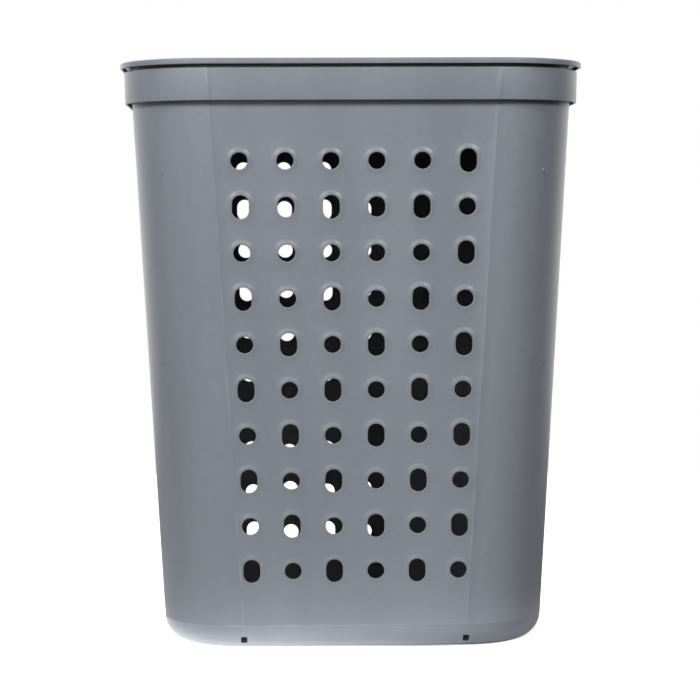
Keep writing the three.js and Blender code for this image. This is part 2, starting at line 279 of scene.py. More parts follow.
soft_box("key_left", (-1.5, -1.92, 1.88), KEY_AIM, SOFT_BOX_SIZE, 47)
soft_box("key_right", (1.22, -2.11, 1.88), KEY_AIM, SOFT_BOX_SIZE, 37)
soft_box("band_glint", (-0.64, -2.45, 0.85), BAND_AIM, SOFT_BOX_SIZE, 6)
table_panel("table_left", -TABLE_PANEL_REACH, 0.0, 1.0)
table_panel("table_front", 0.0, -TABLE_PANEL_REACH, 0.3)
studio_world()
print("lights", [lamp.name for lamp in bpy.data.lights])

# %% [markdown]
# ## The plan of the tub
# Seen from above, every level of the tub is a rounded rectangle. The outline is a fixed list of
# columns, and each column's place is a sum of the level's half width, half depth, corner radius
# and hole reach. A whole surface is then one matrix product: levels times columns. The columns
# on the front and back are spaced to meet the edges of the hole cells.

# %% Sizes of the tub
WALL = 2.2 * MM
SIDE_LEAN = 0.0537
FRONT_LEAN = 0.0394
CORNER_RADIUS = 76 * MM
BAND_HEIGHT = 30.9 * MM
BAND_REACH = 6.8 * MM
BAND_LEAN = 0.02
BAND_SKIRT = 2.2 * MM
BAND_TOP = 2.6 * MM
FOOT_FILLET = 24 * MM
FOOT_RING = 8 * MM
FOOT_RECESS = 3 * MM
FLOOR_THICKNESS = 2.4 * MM
FLOOR_TOP = FOOT_RECESS + FLOOR_THICKNESS

RIM_WIDTH = 440 * MM
RIM_DEPTH = 346 * MM
LID_OVERHANG = 3.8 * MM
LOCATING_RING_DROP = 7 * MM

centre_y = lid_low.y + LID_OVERHANG + RIM_DEPTH / 2
rim_top = lid_low.z + LOCATING_RING_DROP
band_bottom = rim_top - BAND_HEIGHT
wall_half_width = RIM_WIDTH / 2 - BAND_REACH - BAND_LEAN * BAND_HEIGHT
wall_half_depth = RIM_DEPTH / 2 - BAND_REACH - BAND_LEAN * BAND_HEIGHT

HOLE_PATTERN = (
    "oooooO",
    "OmOmOo",
    "oooooO",
    "OoOoOo",
    "oOoOoO",
    "OoOoOo",
    "oOoOoO",
    "OoOoOo",
    "oOoOoO",
    "OoOoOo",
)
HOLE_RADIUS = 8 * MM
HOLE_HEIGHTS = {"o": 16 * MM, "m": 19 * MM, "O": 22.3 * MM}
TOP_ROW = band_bottom - 56.6 * MM
BOTTOM_ROW = 76.9 * MM
TOP_ROW_FROM_SIDE = 101.1 * MM
BOTTOM_ROW_FROM_SIDE = 89.4 * MM
rows, columns = len(HOLE_PATTERN), len(HOLE_PATTERN[0])
row_pitch = (TOP_ROW - BOTTOM_ROW) / (rows - 1)
print("row pitch in mm", round(row_pitch / MM, 2))


# %% The wall at any height
def wall_at(z):
    """Half width and half depth of the wall's outer face: straight lines that lean in below the band."""
    below = band_bottom - np.minimum(z, band_bottom)
    return wall_half_width - SIDE_LEAN * below, wall_half_depth - FRONT_LEAN * below


def hole_reach(z):
    """How far the outermost holes are from the middle: a straight line through the top and bottom rows."""
    top = wall_at(TOP_ROW)[0] - TOP_ROW_FROM_SIDE
    bottom = wall_at(BOTTOM_ROW)[0] - BOTTOM_ROW_FROM_SIDE
    return bottom + (top - bottom) * (z - BOTTOM_ROW) / (TOP_ROW - BOTTOM_ROW)


# %% [markdown]
# A cell is the patch of wall round one hole. Cells meet edge to edge and make a field of six by
# ten, so the same number of steps along every cell edge makes neighbours share their vertices.
#
# The flat panel with the holes is shaped by its own slide in the mould. Where the slide meets
# the rest of the mould it leaves a hair of flash, a thin raised line down each edge of the
# panel, which is painted paler as a highlight. Three close columns on each side draw that line, and the
# field ends at the last of them.

# %% Columns of the outline
CELL_STEPS = 10
CORNER_STEPS = 14
SIDE_STEPS = 6
PANEL_HALF_AT_FOOT = 107.1 * MM
PANEL_LEAN = 0.059
FLASH_HEIGHT = 0.2 * MM
FLASH_HALF_WIDTH = 0.45 * MM
FLASH_COLUMNS = 2
FLAT_COLUMNS = CELL_STEPS * columns + 1 + 2 * FLASH_COLUMNS
X_SHARES = 5


def panel_half(z):
    """Half the width of the flat panel, from its middle to its parting line at height z."""
    return PANEL_HALF_AT_FOOT + PANEL_LEAN * (z - FOOT_FILLET)


def field_edges():
    """Cell edges as shares of (hole reach, panel half width, 1).

    They run midway between the holes, and the first and last run beside the flash.
    """
    inner = (2 * np.arange(1, columns) - columns) / (columns - 1)
    edges = np.zeros((columns + 1, 3))
    edges[1:-1, 0] = inner
    edges[0] = [0, -1, FLASH_HALF_WIDTH]
    edges[-1] = [0, 1, -FLASH_HALF_WIDTH]
    return edges


def outline_columns():
    """One row per column: x as shares of half width, radius, reach, panel half width and 1, then y as
    shares of half depth, radius and flash height.

    A flat side is a straight mix of its ends. A corner is its centre plus the radius times cosine and sine.
    """
    edges = field_edges()
    t = np.linspace(0, 1, CELL_STEPS + 1)[:-1, None]
    mixed = np.concatenate([a + (b - a) * t for a, b in zip(edges, edges[1:])] + [edges[-1:]])
    flash = np.array([[0, -1, -FLASH_HALF_WIDTH], [0, -1, 0]])
    flat_x = np.concatenate([flash, mixed, -flash[::-1]])
    flat_x = np.concatenate([np.zeros((len(flat_x), 2)), flat_x], 1)
    depth = np.tile([-1.0, 0, 0], (len(flat_x), 1))
    depth[[1, -2], 2] = -1
    front = np.concatenate([flat_x, depth], 1)
    back = np.concatenate([flat_x[::-1], -depth], 1)
    s = np.linspace(-1, 1, SIDE_STEPS + 1)[1:-1]
    none = 0 * s
    right = np.stack([none + 1, none, none, none, none, s, -s, none], 1)
    corners = []
    for quarter, (sx, sy) in enumerate([(1, -1), (1, 1), (-1, 1), (-1, -1)]):
        angle = (quarter - 1 + np.linspace(0, 1, CORNER_STEPS + 1)) * pi / 2
        angle = angle[1:] if quarter % 2 == 0 else angle[:-1]
        none = 0 * angle
        x_shares = [none + sx, np.cos(angle) - sx, none, none, none]
        y_shares = [none + sy, np.sin(angle) - sy, none]
        corners.append(np.stack(x_shares + y_shares, 1))
    return np.concatenate([front, corners[0], right, corners[1], back, corners[2], -right, corners[3]])


OUTLINE = outline_columns()
print("columns round the tub", len(OUTLINE))


def surface(out, z, flash=0.0):
    """Points (levels, columns, 3) of a skin: each level's height, its distance out from the leaning wall
    and the height of its flash."""
    out, z = np.asarray(out, float), np.asarray(z, float)
    half_width, half_depth = wall_at(z)
    radius = CORNER_RADIUS + out
    one = np.ones_like(z)
    x = np.stack([half_width + out, radius, hole_reach(z), panel_half(z), one], 1) @ OUTLINE[:, :X_SHARES].T
    y = np.stack([half_depth + out, radius, flash * one], 1) @ OUTLINE[:, X_SHARES:].T
    return np.stack([x, y + centre_y, np.broadcast_to(z[:, None], x.shape)], 2)


# %% [markdown]
# ## From points to a mesh
# Each surface below is an array of points in levels and columns. Neighbouring points make
# quads, and every patch goes into one list. The patches meet at shared places, so merging
# vertices that lie together closes them into one skin.


# %% Mesh helpers
MERGE_DISTANCE = 0.002 * MM
OFF_ROUND = 0.123  # shifts the merging grid, so that no round size lies where it rounds both ways
SHARP_EDGE = 35  # degrees


def grid_quads(levels, count):
    """Corner numbers of a grid's quads: each point, its right neighbour and the two above them.

    The last column's right neighbour is the first column.
    """
    low = np.arange(levels - 1)[:, None] * count
    left = np.arange(count)[None, :]
    right = (left + 1) % count
    return np.stack([low + left, low + right, low + count + right, low + count + left], 2)


def closed_grid(points):
    """A patch from points in levels and columns that go all the way round."""
    return points.reshape(-1, 3), grid_quads(*points.shape[:2]).reshape(-1, 4)


def fan(loop, centre, downwards):
    """A patch that closes a loop with triangles to a centre, as quads with a repeated corner."""
    points = np.concatenate([loop, np.broadcast_to(centre, loop.shape)])
    quads = grid_quads(2, len(loop)).reshape(-1, 4)
    return points, quads[:, ::-1] if downwards else quads


def merged(patches):
    """All patches as one list of points and quads, where points that share a place become one."""
    offsets = np.cumsum([0] + [len(points) for points, _ in patches])
    points = np.concatenate([points for points, _ in patches])
    quads = np.concatenate([quads + offset for (_, quads), offset in zip(patches, offsets)])
    keys = np.round(points / MERGE_DISTANCE + OFF_ROUND).astype(np.int64)
    _, first, inverse = np.unique(keys, axis=0, return_index=True, return_inverse=True)
    used, quads = np.unique(inverse.reshape(-1)[quads], return_inverse=True)
    return points[first][used], quads.reshape(-1, 4)


def shade_smooth(piece):
    """Smooth shading apart from the sharp edges."""
    piece.data.shade_smooth()
    piece.data.set_sharp_from_angle(angle=radians(SHARP_EDGE))


def new_object(name, patches):
    """A smooth object from patches of (points, quads).

    A quad with one repeated corner is a triangle, and one with two has no area and is left out.
    """
    points, quads = merged(patches)
    repeated = quads == np.roll(quads, 1, axis=1)
    once = repeated.sum(1) == 1
    triangles = quads[once][~repeated[once]].reshape(-1, 3)
    mesh = bpy.data.meshes.new(name)
    mesh.from_pydata(points.tolist(), [], quads[~repeated.any(1)].tolist() + triangles.tolist())
    made = bpy.data.objects.new(name, mesh)
    bpy.context.scene.collection.objects.link(made)
    shade_smooth(made)
    return made


def quarter_round(out, z, reach_out, reach_up, start, end, steps):
    """Points (out, z) of a quarter ellipse about a centre. Start and end are in quarter turns."""
    angle = np.linspace(start, end, steps + 1) * pi / 2
    return np.stack([out + reach_out * np.cos(angle), z + reach_up * np.sin(angle)], 1)


# %% [markdown]
# ## The tub's skin
# A moulded tub has the same thickness all over, so both skins come from one profile idea. The
# profile starts under the floor, goes out over the foot ring, up the outer wall, round the
# hanging band and back down inside to the floor. Beside the holes it has one level for each
# step of the cells. The line of flash at the top of the foot fillet is part of the profile.

# %% Profile of the tub
RIM_INNER_RADIUS = 1.2 * MM
BAND_EDGE_RADIUS = 1.2 * MM
SKIRT_EDGE_RADIUS = 0.7 * MM
FLOOR_EDGE = -0.9 * CORNER_RADIUS
SMALL_CHAMFER = 0.3 * MM
FOOT_RING_ROUND = 0.7 * MM
FOOT_RING_DRAFT = 1 * MM
CHANNEL_CHAMFER = 1.5 * MM
LEVELS_ABOVE_FIELD = 5
FOOT_STEPS = 12
INNER_FOOT_STEPS = 8
SKIRT_STEPS = 4
RIM_STEPS = 6
INNER_RIM_STEPS = 5

field_bottom = BOTTOM_ROW - row_pitch / 2
field_top = TOP_ROW + row_pitch / 2
field_levels = np.linspace(field_bottom, field_top, rows * CELL_STEPS + 1)


def band_face(z):
    """How far the band's outer face stands out from the wall at height z."""
    return BAND_REACH + BAND_LEAN * (z - band_bottom)


def upright(out, heights):
    """Pairs (out, z) at one distance from the wall."""
    heights = np.asarray(heights, float)
    return np.stack([np.full(len(heights), out), heights], 1)


def corner_round(out, z, radius, start, end, steps):
    """Points (out, z) of a quarter circle about a centre."""
    return quarter_round(out, z, radius, radius, start, end, steps)


def outer_profile():
    """The outside in three parts: below the hole field, beside it, and above it up to the rim."""
    fillet = corner_round(-FOOT_FILLET, FOOT_FILLET, FOOT_FILLET, -1, 0, FOOT_STEPS)[:-1]
    ring_inside = -FOOT_FILLET - FOOT_RING
    under = [
        [FLOOR_EDGE, FOOT_RECESS],
        [ring_inside - FOOT_RECESS - FOOT_RING_DRAFT, FOOT_RECESS],
        [ring_inside - FOOT_RECESS, FOOT_RECESS - SMALL_CHAMFER],
        [ring_inside - SMALL_CHAMFER, SMALL_CHAMFER],
        [ring_inside + FOOT_RING_ROUND, 0],
    ]
    flash = [
        [0, FOOT_FILLET - FLASH_HALF_WIDTH],
        [FLASH_HEIGHT, FOOT_FILLET],
        [0, FOOT_FILLET + FLASH_HALF_WIDTH],
    ]
    below = np.concatenate([under, fillet, flash, upright(0, [field_bottom])])
    channel_top = rim_top - BAND_TOP
    channel_out = band_face(channel_top) - BAND_SKIRT
    face = band_face(band_bottom)
    skirt_in = face - BAND_SKIRT
    skirt_edge = band_bottom + SKIRT_EDGE_RADIUS
    rim_edge = rim_top - BAND_EDGE_RADIUS
    above = np.concatenate([
        upright(0, np.linspace(field_top, band_bottom, LEVELS_ABOVE_FIELD)),
        [[0, channel_top - CHANNEL_CHAMFER], [CHANNEL_CHAMFER, channel_top], [channel_out, channel_top]],
        [[skirt_in, band_bottom + SMALL_CHAMFER], [skirt_in + SMALL_CHAMFER, band_bottom]],
        corner_round(face - SKIRT_EDGE_RADIUS, skirt_edge, SKIRT_EDGE_RADIUS, -1, 0, SKIRT_STEPS),
        corner_round(band_face(rim_edge) - BAND_EDGE_RADIUS, rim_edge, BAND_EDGE_RADIUS, 0, 1, RIM_STEPS),
    ])
    return below, upright(0, field_levels), above


def inner_profile():
    """The inside in three parts: from the rim to the hole field, beside it, and on down to the floor."""
    fillet_out = FOOT_FILLET - WALL
    fillet_up = FOOT_FILLET - FLOOR_TOP
    edge = RIM_INNER_RADIUS
    rim = quarter_round(edge - WALL, rim_top - edge, -edge, edge, 1, 0, INNER_RIM_STEPS)
    above = np.concatenate([rim, upright(-WALL, [band_bottom, field_top])])
    fillet = quarter_round(-WALL - fillet_out, FOOT_FILLET, fillet_out, fillet_up, 0, -1, INNER_FOOT_STEPS)
    below = np.concatenate([upright(-WALL, [field_bottom]), fillet, [[FLOOR_EDGE, FLOOR_TOP]]])
    return above, upright(-WALL, field_levels[::-1]), below


# %% [markdown]
# ## Hole cells
# Round each hole the wall swells into a low soft collar, which stiffens the edge. It is highest
# above its hole and fades below it, and it is lower in the lower rows. A boolean for each hole
# would leave long thin faces that shade badly, so the wall is made round the holes instead. A
# cell starts on its rectangle, blends to an evenly offset outline of the hole, climbs the collar,
# rounds the edge, goes through the wall and ends on the same rectangle on the inner skin. A cell
# is a ring of 40 points by a short profile, and all cells of a wall are computed at once.

# %% Hole cells
COLLAR_WIDTH = 5.8 * MM
COLLAR_FLAT = 1.0 * MM
COLLAR_HEIGHT = 1.5 * MM
COLLAR_LOW_SIDE = 0.3
COLLAR_LOW_ROWS = 0.6
COLLAR_ROOM = 0.85
COLLAR_STEPS = 5
EDGE_ROUND = 0.45 * MM
EDGE_STEPS = 3


def cell_table():
    """One row per hole: column, row height, centre as a share of the reach, and half the straight side."""
    return np.array([
        (
            column,
            TOP_ROW - row * row_pitch,
            2 * column / (columns - 1) - 1,
            HOLE_HEIGHTS[kind] / 2 - HOLE_RADIUS,
        )
        for row, kinds in enumerate(HOLE_PATTERN)
        for column, kind in enumerate(kinds)
    ])


def rectangle_rings(cells):
    """The edge of each cell as points (cells, ring, 2), anticlockwise seen from the front."""
    column, middle = cells[:, 0].astype(int), cells[:, 1:2]
    low, high = middle - row_pitch / 2, middle + row_pitch / 2
    t = np.linspace(0, 1, CELL_STEPS + 1)[None, :-1]
    one = np.ones_like(t)
    z = np.concatenate([low * one, low + (high - low) * t, high * one, high + (low - high) * t], 1)
    across = np.concatenate([t, one, 1 - t, 0 * one], 1)
    basis = np.stack([hole_reach(z), panel_half(z), np.ones_like(z)], 2)
    edges = field_edges()
    left = (basis * edges[column][:, None, :]).sum(2)
    right = (basis * edges[column + 1][:, None, :]).sum(2)
    return np.stack([left + (right - left) * across, z], 2)


def ray_lengths(direction, radius, straight):
    """How far a ray from the middle of a tall slot runs to its outline.

    It meets the straight side at radius over cosine. Past the end of that side it meets the
    round end: straight times sine, plus the root of radius squared minus straight squared
    times cosine squared.
    """
    c, s = np.abs(np.cos(direction)), np.abs(np.sin(direction))
    side = radius / np.maximum(c, 1e-9)
    end = straight * s + np.sqrt(np.maximum(radius**2 - (straight * c) ** 2, 0))
    return np.where(side * s <= straight, side, end)


def cell_rings(cells):
    """Every ring of every cell as (cells, rings, ring points, 3): sideways, up, and out from the wall.

    The collar rises as half of one minus a cosine. It is highest above its hole and in the top
    row. Where the cell's edge is near, it gets narrower and lower by the same share.
    """
    rectangle = rectangle_rings(cells)
    middle = np.stack([cells[:, 2] * hole_reach(cells[:, 1]), cells[:, 1]], 1)[:, None, :]
    spoke = rectangle - middle
    direction = np.arctan2(spoke[..., 1], spoke[..., 0])
    straight = cells[:, 3:4]
    free = np.hypot(spoke[..., 0], spoke[..., 1]) - ray_lengths(direction, HOLE_RADIUS, straight)
    room = np.minimum(1, COLLAR_ROOM * free / COLLAR_WIDTH)
    upper = (1 + np.sin(direction)) / 2
    high_row = (cells[:, 1:2] - BOTTOM_ROW) / (TOP_ROW - BOTTOM_ROW)
    side_share = COLLAR_LOW_SIDE + (1 - COLLAR_LOW_SIDE) * upper
    row_share = COLLAR_LOW_ROWS + (1 - COLLAR_LOW_ROWS) * high_row
    lift = COLLAR_HEIGHT * room * (side_share * row_share)

    def ring(distance, push, to_edge=0.0):
        """A ring at a distance from the hole's outline, moved towards the cell's edge by a share."""
        length = ray_lengths(direction, HOLE_RADIUS + distance, straight)
        even = middle + length[..., None] * np.stack([np.cos(direction), np.sin(direction)], 2)
        flat = even + (rectangle - even) * to_edge
        return np.concatenate([flat, np.broadcast_to(push, flat.shape[:2])[..., None]], 2)

    rings = [ring(0, 0, 1.0)]
    for t in np.linspace(0, 1, COLLAR_STEPS + 1):
        distance = COLLAR_WIDTH + (COLLAR_FLAT - COLLAR_WIDTH) * t
        rings.append(ring(distance * room, lift * (1 - cos(pi * t)) / 2))
    for turn in np.linspace(0, 1, EDGE_STEPS + 1) * pi / 2:
        rings.append(ring(EDGE_ROUND * (1 - sin(turn)), lift - EDGE_ROUND * (1 - cos(turn))))
    rings += [
        ring(0, -WALL + EDGE_ROUND),
        ring(EDGE_ROUND, -WALL),
        ring(COLLAR_WIDTH * room, -WALL),
        ring(0, -WALL, 1.0),
    ]
    return np.stack(rings, 1)


def cell_patch(rings, side):
    """The cells of one wall as a patch. Side -1 is the front. Side 1 is the back, where the order turns."""
    x, z, push = rings[..., 0], rings[..., 1], rings[..., 2]
    points = np.stack([x, centre_y + side * (wall_at(z)[1] + push), z], -1)
    count, levels, ring_points = points.shape[:3]
    quads = grid_quads(levels, ring_points).reshape(-1, 4)
    quads = quads[:, ::-1] if side > 0 else quads
    starts = np.arange(count)[:, None, None] * levels * ring_points
    return points.reshape(-1, 3), (quads[None] + starts).reshape(-1, 4)


# %% [markdown]
# The walls, the band, the floor and the cells are now separate patches with the same points along
# their edges. Where the cells go, the wall's own quads are left out.


# %% Join the skin
def field_columns():
    """The columns whose quads belong to the front and back fields, and are left to the cells."""
    front = FLASH_COLUMNS + np.arange(CELL_STEPS * columns)
    back_start = FLAT_COLUMNS + 2 * CORNER_STEPS + SIDE_STEPS - 1
    return np.concatenate([front, front + back_start])


def flash_of(profile):
    """The height of the flash at each level: on the outer wall above the foot, and on the band's face."""
    out, z = profile.T
    on_wall = (np.abs(out) < MERGE_DISTANCE) & (z > FOOT_FILLET) & (z < band_bottom)
    on_band = (out > BAND_REACH - MERGE_DISTANCE) & (z < rim_top - BAND_EDGE_RADIUS + MERGE_DISTANCE)
    return np.where(on_wall | on_band, FLASH_HEIGHT, 0)


def tub_patches():
    """The outer skin, the rim, the inner skin, the middle of the floor's two sides, and every hole cell."""
    outer, inner = outer_profile(), inner_profile()
    parts = [surface(*profile.T, flash_of(profile)) for profile in outer]
    parts += [surface(*profile.T) for profile in inner]
    patches = [closed_grid(parts[part]) for part in (0, 2, 3, 5)]
    for part in (1, 4):
        quads = np.delete(grid_quads(*parts[part].shape[:2]), field_columns(), axis=1)
        patches.append((parts[part].reshape(-1, 3), quads.reshape(-1, 4)))
    patches.append(closed_grid(np.stack([parts[2][-1], parts[3][0]])))
    patches.append(fan(parts[0][0], (0, centre_y, FOOT_RECESS), True))
    patches.append(fan(parts[5][-1], (0, centre_y, FLOOR_TOP), False))
    rings = cell_rings(cell_table())
    return patches + [cell_patch(rings, -1), cell_patch(rings, 1)]


tub = new_object("tub_moulding", tub_patches())
print("tub faces", len(tub.data.polygons), "size in mm", [round(v / MM, 1) for v in tub.dimensions])

# %% [markdown]
# ## Hinges
# Two pairs of ears stand out from the back of the band, and a knuckle under the lid fits
# between each pair. Both are flat plates with a bore, and both are star shaped about the bore:
# every ray from the hinge axis leaves them once. So a plate is a list of directions, each with
# its reach, and rings of that list from the bore out over the edge and back on the other side.

# %% Plates about the hinge axis
HINGE_FROM_SIDE = 110 * MM
PIN_RADIUS = 2 * MM
PIN_CLEARANCE = 0.3 * MM
KNUCKLE_WIDTH = 22 * MM
KNUCKLE_RADIUS = 5 * MM
EAR_WIDTH = 4 * MM
EAR_GAP = 0.5 * MM
EAR_RIB_DROP = 17 * MM
PLATE_EDGE = 0.5 * MM
PLATE_EDGE_STEPS = 3
BORE_EDGE = 0.25 * MM

_, axis_y, axis_z = frame["joints"][0]["pos_m"]
hinge_x = RIM_WIDTH / 2 - HINGE_FROM_SIDE
ear_offset = KNUCKLE_WIDTH / 2 + EAR_GAP + EAR_WIDTH / 2
band_back = centre_y + RIM_DEPTH / 2


def polygon_reach(corners, directions):
    """How far each ray from the origin runs inside a convex polygon.

    A side that a ray faces is met at its offset over the cosine between them. The least of these counts.
    """
    ahead = np.roll(corners, -1, 0) - corners
    normals = np.stack([ahead[:, 1], -ahead[:, 0]], 1) / np.hypot(*ahead.T)[:, None]
    offsets = (normals * corners).sum(1)
    rays = np.stack([np.cos(directions), np.sin(directions)], 1)
    cosines = rays @ normals.T
    return np.where(cosines > 1e-6, offsets / np.maximum(cosines, 1e-6), np.inf).min(1)


def arc(start, end, radius, steps):
    """Points of an arc about the origin from one angle to another, in degrees."""
    angle = np.radians(np.linspace(start, end, steps))
    return radius * np.stack([np.cos(angle), np.sin(angle)], 1)


def rays_through(corners, count):
    """The directions of evenly spread rays and of every corner, in order."""
    spread = np.linspace(-pi, pi, count + 1)[:-1]
    return np.unique(np.concatenate([np.arctan2(corners[:, 1], corners[:, 0]), spread]))


def bored_plate(directions, reach, x, thickness):
    """A patch of a plate across X at x: rings from the bore, over one face, round the edge and back.

    Every ring is a distance along each ray. The edge is a quarter round on both sides.
    """
    bore = np.full_like(reach, PIN_RADIUS + PIN_CLEARANCE)
    half = thickness / 2
    rings = [(bore, -half + BORE_EDGE), (bore + BORE_EDGE, -half)]
    for turn in np.linspace(0, pi / 2, PLATE_EDGE_STEPS + 1):
        rings.append((reach - PLATE_EDGE * (1 - sin(turn)), -half + PLATE_EDGE * (1 - cos(turn))))
    rings += [(distance, -offset) for distance, offset in rings[::-1]]
    rings.append(rings[0])
    distance = np.stack([distance for distance, _ in rings])
    across = np.array([[x + offset] for _, offset in rings]) + 0 * distance
    y = axis_y + distance * np.cos(directions)
    z = axis_z + distance * np.sin(directions)
    return closed_grid(np.stack([across, y, z], 2))


# %% [markdown]
# Ears, gate marks and drains are joined to the tub or cut from it by exact booleans. These small
# features cross the even grid of the wall at places of their own, and a boolean keeps the
# result one closed moulding.
#
# A gate mark is where the melt came in. The runner breaks off there and leaves a low round ring
# with a stub in the middle. There are two on each front corner, clear of the slides.


# %% Boolean helper
def combine(target, operation, patches_list):
    """Join closed patches to an object, or cut them from it, and drop the helper object."""
    tool = new_object("tool", patches_list)
    mesh = bmesh.new()
    mesh.from_mesh(tool.data)
    bmesh.ops.recalc_face_normals(mesh, faces=mesh.faces)
    mesh.to_mesh(tool.data)
    mesh.free()
    change = target.modifiers.new("combine", "BOOLEAN")
    change.object = tool
    change.operation = operation
    change.solver = "EXACT"
    changed = bpy.data.meshes.new_from_object(target.evaluated_get(bpy.context.evaluated_depsgraph_get()))
    target.modifiers.clear()
    target.data = changed
    bpy.data.objects.remove(tool)


# %% Ears, gate marks and drains
DRAIN_WIDTH = 6 * MM
DRAIN_HEIGHT = 6.5 * MM
DRAIN_ABOVE_FLOOR = 0.8 * MM
DRAIN_FROM_SIDE = 78 * MM
EAR_ARC_STEPS = 20
EAR_RAYS = 48
# The height of each gate and the turn of its corner's outward direction from sideways.
GATES = ((459 * MM, radians(49)), (276 * MM, radians(36)))
# Radius and height in turn: a ring with a dip inside it, then the stub.
GATE_PROFILE = MM * np.array([
    [0, -1], [3.2, -1], [3.2, 0.2], [2.8, 0.5], [2.2, 0.15], [1.3, 0.1], [1.1, 0.9], [0, 1.1]
])
GATE_STEPS = 24


def ear_patch(x):
    """An ear: a circle about the pin, and a rib that runs from its tangent down to the band."""
    root = band_back - BAND_SKIRT / 2 - axis_y
    foot = -KNUCKLE_RADIUS - EAR_RIB_DROP
    tangent = degrees(atan2(foot, root) + acos(KNUCKLE_RADIUS / hypot(root, foot)))
    round_part = arc(tangent, 90, KNUCKLE_RADIUS, EAR_ARC_STEPS)
    corners = np.concatenate([[[root, foot]], round_part, [[root, KNUCKLE_RADIUS]]])
    directions = rays_through(corners, EAR_RAYS)
    return bored_plate(directions, polygon_reach(corners, directions), x, EAR_WIDTH)


def block(low, high):
    """A patch of a closed box between two corners."""
    x, y, z = np.array([low, high]).T
    corners = np.array([(x[i], y[j], z[k]) for k in (0, 1) for i, j in ((0, 0), (1, 0), (1, 1), (0, 1))])
    sides = [[0, 3, 2, 1], [4, 5, 6, 7], [0, 1, 5, 4], [1, 2, 6, 5], [2, 3, 7, 6], [3, 0, 4, 7]]
    return corners, np.array(sides)


def gate_patch(side, z, turn):
    """A gate mark on a front corner: a profile turned about the corner's outward direction."""
    half_width, half_depth = wall_at(z)
    outwards = np.array([side * cos(turn), -sin(turn), 0])
    middle = np.array([side * (half_width - CORNER_RADIUS), centre_y - half_depth + CORNER_RADIUS, z])
    along = np.array([-outwards[1], outwards[0], 0])
    angle = np.linspace(0, 2 * pi, GATE_STEPS + 1)[:-1, None]
    ring = np.cos(angle) * along + np.sin(angle) * np.array([0, 0, 1])
    radius, push = GATE_PROFILE[:, 0, None, None], GATE_PROFILE[:, 1, None, None]
    return closed_grid(middle + (CORNER_RADIUS + push) * outwards + radius * ring)


drain_z = FLOOR_TOP + DRAIN_ABOVE_FLOOR + DRAIN_HEIGHT / 2
drain_x = wall_at(drain_z)[0] - DRAIN_FROM_SIDE
drain_reach = np.array([DRAIN_WIDTH / 2, RIM_DEPTH, DRAIN_HEIGHT / 2])
drains = [
    block(*(np.array([side * drain_x, centre_y, drain_z]) + sign * drain_reach for sign in (-1, 1)))
    for side in (-1, 1)
]
ears = [ear_patch(side * hinge_x + sign * ear_offset) for side in (-1, 1) for sign in (-1, 1)]
gates = [gate_patch(side, z, turn) for side in (-1, 1) for z, turn in GATES]
combine(tub, "UNION", ears + gates)
combine(tub, "DIFFERENCE", drains)
shade_smooth(tub)
print("tub faces with ears, gates and drains", len(tub.data.polygons))

# %% [markdown]
# ## The lid
# The lid is a shallow tray upside down. Its plate rises in a soft crown from a rounded edge, its
# lip hangs clear of the band and leaves a dark line of shadow, and its seat rests on the rim
# round a ring that keeps it in place. The lip hangs a little lower in front and at the sides
# than at the back. It is again one profile swept round a rounded rectangle.

# %% Lid
LID_PLATE = 2.4 * MM
LID_EDGE = 4.7 * MM
LID_LIP = 2.4 * MM
LID_EDGE_RADIUS = 1.8 * MM
LID_CROWN = 2 * MM
LID_CROWN_WIDTH = 42 * MM
LIP_FOOT_RADIUS = 0.5 * MM
LIP_DROP = 0.8 * MM
LIP_BLEND = 60 * MM
SEAT_GAP = 0.3 * MM
SEAT_WIDTH = 3 * MM
SHADOW_GAP = 3.8 * MM
LOCATING_RING_WALL = 1.8 * MM
LOCATING_RING_GAP = 1.5 * MM
RING_CHAMFER = 0.6 * MM
RING_FILLET = 0.8 * MM
FILLET_ROOM = 1 * MM
LIP_CHAMFER = 0.6 * MM
LID_CORNER_STEPS = 24
CROWN_STEPS = 12
LIP_STEPS = 4
LID_EDGE_STEPS = 8

lid_bottom = rim_top + SHADOW_GAP
lid_top = lid_bottom + LID_EDGE
lid_back = band_back + LID_OVERHANG


def lid_outline():
    """Columns of the lid: x as shares of half width and radius, y as shares of half depth and radius."""
    corners = []
    for quarter, (sx, sy) in enumerate([(1, 1), (-1, 1), (-1, -1), (1, -1)]):
        angle = (quarter + np.linspace(0, 1, LID_CORNER_STEPS + 1)) * pi / 2
        none = 0 * angle
        corners.append(np.stack([none + sx, np.cos(angle) - sx, none + sy, np.sin(angle) - sy], 1))
    return np.concatenate(corners)


def lid_surface(profile):
    """Points (levels, columns, 3) of a profile of (distance in from the lid's edge, height).

    The end of the lip hangs lower everywhere but at the back, where it has to clear the hinges.
    """
    inward, z = np.asarray(profile).T
    columns_of_lid = lid_outline()
    radius = CORNER_RADIUS + BAND_REACH + LID_OVERHANG - inward
    x = np.stack([RIM_WIDTH / 2 + LID_OVERHANG - inward, radius], 1) @ columns_of_lid[:, :2].T
    y = np.stack([RIM_DEPTH / 2 + LID_OVERHANG - inward, radius], 1) @ columns_of_lid[:, 2:].T
    on_lip = (inward < LID_LIP + MERGE_DISTANCE) & (z < lid_bottom + LIP_FOOT_RADIUS + MERGE_DISTANCE)
    forward = np.clip((RIM_DEPTH / 2 - y) / LIP_BLEND, 0, 1)
    return np.stack([x, y + centre_y, z[:, None] - LIP_DROP * on_lip[:, None] * forward], 2)


def crown(start_z):
    """The rise of the plate: half of one minus a cosine, from the rounded edge to the flat middle."""
    t = np.linspace(0, 1, CROWN_STEPS + 1)
    rise = LID_CROWN * (1 - np.cos(pi * t)) / 2
    return np.stack([LID_EDGE_RADIUS + LID_CROWN_WIDTH * t, start_z + rise], 1)


